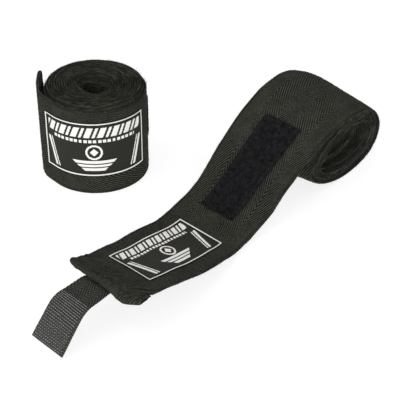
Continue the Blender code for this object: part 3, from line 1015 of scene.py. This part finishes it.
def open_edges(along):
    """How far the lying roll's turns are drawn in at their far and their near edge."""
    wound = along - HEM_AT
    inside = smooth((wound - 150.0 * MM) / (50.0 * MM))
    core = smooth((along - LYING_END + 120.0 * MM) / (60.0 * MM))
    turn = max(wound, 0.0) / (110.0 * MM)
    near = OPEN_NEAR_IN * (1.0 + ripple(turn, 0.0, 2.2, 3.0)) * (1.0 - 0.5 * core)
    near += 0.4 * MM * ripple(along, 0.0, 37.0 * MM, 3.0)
    far = OPEN_FAR_IN + 0.8 * MM * ripple(turn, 0.0, 2.6, 8.0)
    fine = EDGE_FINE * ripple(along, 0.0, EDGE_FINE_SIZE, 5.0)
    return far * inside + fine, near * inside + fine


def rolled_edges(along):
    """How far the standing roll's turns are drawn in at their upper and their lower edge."""
    first = smooth((along - 20.0 * MM) / (35.0 * MM)) * smooth((400.0 * MM - along) / (300.0 * MM))
    late = smooth((along - 100.0 * MM) / (100.0 * MM))
    core = smooth((along - ROLLED_END + 230.0 * MM) / (130.0 * MM))
    upper = ROLLED_FIRST_IN * first - ROLLED_LATE_OUT * late + ROLLED_CORE_IN * core
    upper += 0.5 * MM * late * ripple(along, 0.0, 135.0 * MM, 4.0)
    upper += 0.25 * MM * ripple(along, 0.0, 17.0 * MM, 4.0)
    upper += EDGE_FINE * ripple(along, 0.0, EDGE_FINE_SIZE, 5.0)
    lower = ROLLED_LOWER_IN * (1.0 + ripple(along, 0.0, 33.0 * MM, 6.0)) * late
    return upper, lower


def make_lengths(place, edges, cloth, lengths):
    """The lengths that a band is made in, each built as a ribbon and held by its body or joint."""
    for name, start, stop, held, under, holder, node, settings in lengths:
        thick = settings.pop("thick", BAND_THICK)
        piece = ribbon(name, place, start, stop, BAND_WIDTH, thick, cloth, edges=edges, **settings)
        hold(piece, holder, node)


def make_open_band(cloth, lint):
    """The lying wrap's band: the end, the run up to the roll, and the roll."""
    tip = -HEM_FOLD - math.pi * OPEN_FOLD
    seam = HEM_AT - 0.5 * RUN_LENGTH
    first = HEM_AT + ROLL_LENGTHS[round(len(ROLL_OUTLINE) / ROLL_STEP)]
    core = LYING_END - OPEN_CORE
    outer = ("open_outer_turn",)
    make_lengths(open_place, open_edges, cloth, (
        ("open_end_cloth", tip, seam, "laid", (), "open_end_fold", "open_end_band", {"hem": 0.0}),
        ("open_run_cloth", seam, HEM_AT, "laid", outer, "open_run_lift", "open_run_band", {}),
        ("open_outer_turn", HEM_AT, first, "folded", (), "open_roll", "open_roll_band", {}),
        ("open_inner_turns", first, core, "folded", outer, "open_roll", None, {"step": OPEN_STEP}),
        ("open_core_turns", core, LYING_END, "folded", ("open_inner_turns",), "open_roll", None, {}),
    ))
    fuzzy = (("end", 0.0, seam, seam, "open_end_fold"),
             ("run", seam, HEM_AT, HEM_AT, "open_run_lift"),
             ("roll", HEM_AT, first, LYING_END, "open_roll"))
    for number, (word, start, stop, rim_stop, holder) in enumerate(fuzzy, 1):
        fuzz = fibres("open_%s_lint" % word, open_place, start, stop, lint, 10 + number)
        hold(fuzz, holder)
        for side, edge in ((-1, "far"), (1, "near")):
            fuzz = rim_fibres("open_%s_%s_lint" % (word, edge), open_place, start, rim_stop, side,
                              open_edges, lint, 10 + 10 * number + side)
            hold(fuzz, holder)


def make_rolled_band(cloth, lint):
    """The standing wrap's band: its outermost turn with the hem, and the turns inside it."""
    tip = -HEM_FOLD - math.pi * ROLLED_FOLD
    first = STAND_LENGTHS[round(1.15 * TURN / STAND_STEP)]
    core = ROLLED_END - ROLLED_CORE
    body = "rolled_wrap"
    make_lengths(rolled_place, rolled_edges, cloth, (
        ("rolled_outer_turn", tip, first, "folded", (), body, "rolled_band", {"hem": 0.0}),
        ("rolled_inner_turns", first, core, "folded", ("rolled_outer_turn",), body, None,
         {"step": ROLLED_STEP, "thick": INNER_THICK}),
        ("rolled_core_turns", core, ROLLED_END, "folded", ("rolled_inner_turns",), body, None, {}),
    ))
    fuzz = fibres("rolled_lint", rolled_place, 0.0, first, lint, 51)
    hold(fuzz, body)
    for side, edge, density in ((-1, "upper", RIM_DENSITY), (1, "lower", 0.3 * RIM_DENSITY)):
        fuzz = rim_fibres("rolled_%s_lint" % edge, rolled_place, 0.0, ROLLED_END, side,
                          rolled_edges, lint, 60 + side, density)
        hold(fuzz, body)


# Labels

def label_white(s, t):
    """Whether the label's pattern is white, s from its start and t from its top, in millimetres.

    The pattern is plain stripes, dashes, a ring and a diamond, and has no lettering.
    """
    long = LABEL_LENGTH / MM
    wide = LABEL_WIDTH / MM
    edge = min(s, long - s, t, wide - t)
    if edge < 1.1:
        return edge > 0.2
    out = abs(s - 0.5 * long)
    end = 0.5 * long - out
    if 2.8 < t < 8.4:
        place = (s + 0.4 * t) % 6.8
        return end > 3.0 and (place < 3.0 or 4.2 < place < 5.6)
    if 9.6 < t < 11.2:
        return end > 7.0 and s % 2.4 < 1.6
    radius = math.hypot(s - 0.5 * long, t - 16.8)
    if radius < 4.3:
        return radius > 3.3 or out + abs(t - 16.8) < 2.0
    if 21.8 < t < 28.0 and out < 11.5 - 1.1 * (t - 21.8):
        return (t - 21.8) % 2.2 < 1.5
    if 12.4 < t < wide - 2.6:
        place = end - 0.3 * (t - 12.4)
        return 2.2 < place < 3.7 or 4.5 < place < 5.2
    return False


def make_label(name, place, material):
    """A damask label: a fine grid of picks, with the white ones raised."""
    form = bmesh.new()
    cloth = form.verts.layers.float_vector.new("cloth")
    white = form.faces.layers.float.new("white")
    stations = spread(0.0, LABEL_LENGTH, LABEL_PICK)
    columns = spread(0.0, LABEL_WIDTH, LABEL_PICK)
    marks = [[label_white(0.5 * (s + s_next) / MM, 0.5 * (t + t_next) / MM)
              for t, t_next in zip(columns, columns[1:])]
             for s, s_next in zip(stations, stations[1:])]
    grids = []
    for surface in (0.5, -0.5):
        grid = []
        for i, s in enumerate(stations):
            row = []
            for j, t in enumerate(columns):
                near = [marks[a][b] for a in (i - 1, i) for b in (j - 1, j)
                        if 0 <= a < len(marks) and 0 <= b < len(marks[0])]
                rise = LABEL_HEIGHT + surface * LABEL_THICK
                if surface > 0.0:
                    rise += LABEL_RELIEF * sum(near) / len(near)
                edge = min(s, LABEL_LENGTH - s, t, LABEL_WIDTH - t)
                rise -= LABEL_SEWN * smooth(1.0 - abs(edge - LABEL_STITCH_INSET) / LABEL_SEWN_WIDE)
                rise += LABEL_WAVE * ripple(s, t, LABEL_WAVE_SIZE, 2.0)
                vert = form.verts.new(place(LABEL_FROM_HEM + s, t - 0.5 * LABEL_WIDTH, rise))
                vert[cloth] = (s, t, 1.0)
                row.append(vert)
            grid.append(row)
        grids.append(grid)
    top, under = grids
    for i in range(len(stations) - 1):
        for j in range(len(columns) - 1):
            face = form.faces.new((top[i][j], top[i + 1][j], top[i + 1][j + 1], top[i][j + 1]))
            face[white] = 1.0 if marks[i][j] else 0.0
            form.faces.new((under[i][j], under[i][j + 1], under[i + 1][j + 1], under[i + 1][j]))
    rim_top = outline(top)
    rim_under = outline(under)
    for k in range(len(rim_top)):
        form.faces.new((rim_top[k - 1], rim_top[k], rim_under[k], rim_under[k - 1]))
    bmesh.ops.recalc_face_normals(form, faces=form.faces)
    label = finish_mesh(name, form, material)
    return label


def outline(grid):
    """The points round a grid's border, in order."""
    return (grid[0] + [row[-1] for row in grid[1:-1]] + grid[-1][::-1]
            + [row[0] for row in grid[-2:0:-1]])


def make_labels(weave, thread):
    """Both labels and their stitching."""
    start = LABEL_FROM_HEM + LABEL_STITCH_INSET
    stop = LABEL_FROM_HEM + LABEL_LENGTH - LABEL_STITCH_INSET
    lines = rectangle(start, stop, LABEL_WIDTH - 2.0 * LABEL_STITCH_INSET)
    height = LABEL_HEIGHT + 0.5 * LABEL_THICK - 0.5 * LABEL_SEWN
    wraps = (("open", open_place, "open_end_fold", "open_end_cloth"),
             ("rolled", rolled_label_place, "rolled_wrap", "rolled_outer_turn"))
    for prefix, place, holder, under in wraps:
        label = make_label(prefix + "_woven_label", place, weave)
        hold(label, holder, prefix + "_label")
        seam = stitching(prefix + "_label_stitches", place, lines, height, thread)
        hold(seam, holder, prefix + "_label_thread")


# Hems and tails

def hem_lines():
    """The box and the row of stitches that close the hem."""
    box = rectangle(1.8 * MM, TAIL_ROOT - 1.0 * MM, TAIL_WIDTH - 3.0 * MM)
    return box + [((10.0 * MM, -23.0 * MM), (10.0 * MM, 23.0 * MM))]


def make_tail(prefix, place, joint, tape, pad, nylon):
    """A tail: woven tape from its root on, hook tape on its outer part, and its hooks."""
    pieces = [
        ribbon(prefix + "_tail_tape", place, -TAIL_TAPE_END, TAIL_ROOT, TAIL_WIDTH, TAIL_THICK,
               tape, step=0.4 * MM, columns=40,
               relief=lambda along, across: TAIL_RELIEF * tape_rib(along, across, TAPE_PITCH, TAPE_SLOPE)),
        ribbon(prefix + "_hook_pad", place, -TAIL_LENGTH, -TAIL_TAPE_END + 0.1 * MM, TAIL_WIDTH,
               TAIL_THICK, pad, step=0.3 * MM, columns=28,
               relief=lambda along, across: 0.5 * TAIL_RELIEF * tape_rib(along, across, PAD_PITCH, 0.0)),
    ]
    dashes = Tubes()
    hooks = Tubes()
    top = 0.5 * TAIL_THICK
    half = 0.5 * TAIL_WIDTH - PAD_SIDE
    ends = (-TAIL_LENGTH + PAD_TIP, -TAIL_TAPE_END - PAD_ROOT)
    draw = random.Random(81)
    for number, along in enumerate(spread(*ends, DASH_ROW)):
        shift = 0.5 * DASH_STEP * (number % 2)
        for across in spread(-half, half - DASH_STEP, DASH_STEP):
            middle = across + shift + draw.uniform(-0.12, 0.12) * MM
            reach = draw.uniform(0.35, 0.55) * MM
            lean = draw.uniform(-0.1, 0.25) * MM
            dashes.add([place(along + ahead * lean, middle + out * reach, top + rise)
                        for ahead, out, rise, _ in DASH_SHAPE],
                       [part[-1] for part in DASH_SHAPE], 5)
    for number, along in enumerate(spread(*ends, HOOK_ROW)):
        shift = 0.5 * HOOK_STEP * (number % 2)
        side = 1.0 if number % 2 else -1.0
        for across in spread(-half, half - HOOK_STEP, HOOK_STEP):
            hooks.add([place(along + side * ahead, across + shift, -top - drop)
                       for ahead, drop, _ in HOOK_SHAPE],
                      [part[-1] for part in HOOK_SHAPE], 4)
    # The dashes and the hooks carry the painted glint of the black nylon.
    pieces.append(dashes.build(prefix + "_tape_dashes", nylon))
    pieces.append(hooks.build(prefix + "_tape_hooks", nylon))
    for piece, node in zip(pieces, (prefix + "_tail_root", prefix + "_hook_tail", None, None)):
        hold(piece, joint, node)


def make_hems(thread):
    """The stitching across both hems."""
    wraps = (("open", open_place, "open_end"), ("rolled", rolled_place, "rolled_wrap"))
    for prefix, place, body in wraps:
        seam = stitching(prefix + "_hem_stitches", place, hem_lines(), 0.5 * BAND_THICK, thread)
        hold(seam, body, prefix + "_hem_thread")


# Loop patches

def make_patch(prefix, place, body, fleece, pile, thread):
    """A patch of brushed loops, matted and soft at its edges, and its stitching."""
    start = PATCH_FROM_HEM
    stop = PATCH_FROM_HEM + PATCH_LENGTH - PATCH_SHORT
    width = PATCH_WIDTH - PATCH_NARROW

    def sewn_place(along, across, height):
        askew = PATCH_ASKEW * (stop - along) / PATCH_LENGTH
        return place(along, across - askew, height)

    def matted(along, across, height):
        if height > 0.0:
            height += PATCH_MAT * ripple(along, across, PATCH_MAT_SIZE, 1.0)
        edge = (2.0 * abs(across) / width) ** 6
        across += PATCH_FRAY * edge * ripple(along, 0.0, PATCH_FRAY_SIZE, math.copysign(3.0, across))
        return sewn_place(along, across, PATCH_HEIGHT + height)

    pad = ribbon(prefix + "_patch_pad", matted, start, stop, width, PATCH_THICK, fleece,
                 step=0.7 * MM, columns=36)
    hold(pad, body, prefix + "_loop_patch")
    loops = fibres(prefix + "_patch_pile", sewn_place, start, stop, pile, 71, width,
                   PATCH_HEIGHT + 0.2 * PATCH_THICK, PILE_DENSITY, PILE_LENGTH, PILE_RISE,
                   PILE_THICK, PATCH_FEATHER)
    hold(loops, body)
    sewn = rectangle(start + PATCH_STITCH, stop - PATCH_STITCH, width - 2.0 * PATCH_STITCH)
    seam = stitching(prefix + "_patch_stitches", sewn_place, sewn, PATCH_HEIGHT + 0.4 * PATCH_THICK,
                     thread)
    hold(seam, body, prefix + "_patch_thread")


# Thumb loops

def make_thumb_loop(prefix, place, inner_end, body, cloth, thread):
    """The flattened loop of band at the inner end, and the bar tack that closes it."""
    radius = 0.55 * MM
    bend_length = math.pi * radius

    def loop_place(along, across, height):
        if along < LOOP_LENGTH:
            return place(inner_end + LOOP_GAP + along, across, height)
        beyond = along - LOOP_LENGTH
        far = inner_end + LOOP_GAP + LOOP_LENGTH
        if beyond < bend_length:
            angle = beyond / radius
            return place(far + (radius + height) * math.sin(angle), across,
                         (radius + height) * math.cos(angle) - radius)
        return place(far - (beyond - bend_length), across, -2.0 * radius - height)

    length = 2.0 * LOOP_LENGTH + bend_length
    loop = ribbon(prefix + "_thumb_strap", loop_place, 0.0, length, LOOP_WIDTH, BAND_THICK, cloth,
                  step=0.6 * MM, columns=12)
    tack = stitching(prefix + "_thumb_tack", loop_place,
                     [((at, -6.0 * MM), (at, 6.0 * MM)) for at in (1.5 * MM, 2.5 * MM, 3.5 * MM)],
                     0.5 * BAND_THICK, thread)
    hold(loop, body, prefix + "_thumb_loop")
    hold(tack, body, prefix + "_thumb_loop_tack")


def main():
    """Build everything that shows."""
    make_camera()
    make_stage()
    cloth = band_material()
    lint = lint_material("band_lint", (0.012, 0.012, 0.010), (0.085, 0.085, 0.070))
    pile = lint_material("loop_pile", (0.0030, 0.0030, 0.0036), (0.034, 0.034, 0.037))
    thread = thread_material()
    fleece = fleece_material()
    tape = tape_material("tail_tape", TAPE_PITCH, TAPE_SLOPE, (0.005, 0.005, 0.0045),
                         (0.088, 0.090, 0.076))
    pad = tape_material("hook_base", PAD_PITCH, 0.0, (0.020, 0.020, 0.018),
                        (0.080, 0.083, 0.074))
    nylon = hook_glint_material()
    make_open_band(cloth, lint)
    make_rolled_band(cloth, lint)
    make_labels(label_material(), thread)
    make_hems(thread)
    make_tail("open", open_tail_place, "open_tail_fold", tape, pad, nylon)
    make_tail("rolled", rolled_tail_place, "rolled_tail_peel", tape, pad, nylon)
    make_patch("open", open_place, "open_run", fleece, pile, thread)
    make_patch("rolled", rolled_label_place, "rolled_wrap", fleece, pile, thread)
    make_thumb_loop("open", open_place, LYING_END, "open_roll", cloth, thread)
    make_thumb_loop("rolled", rolled_place, ROLLED_END, "rolled_wrap", cloth, thread)


main()
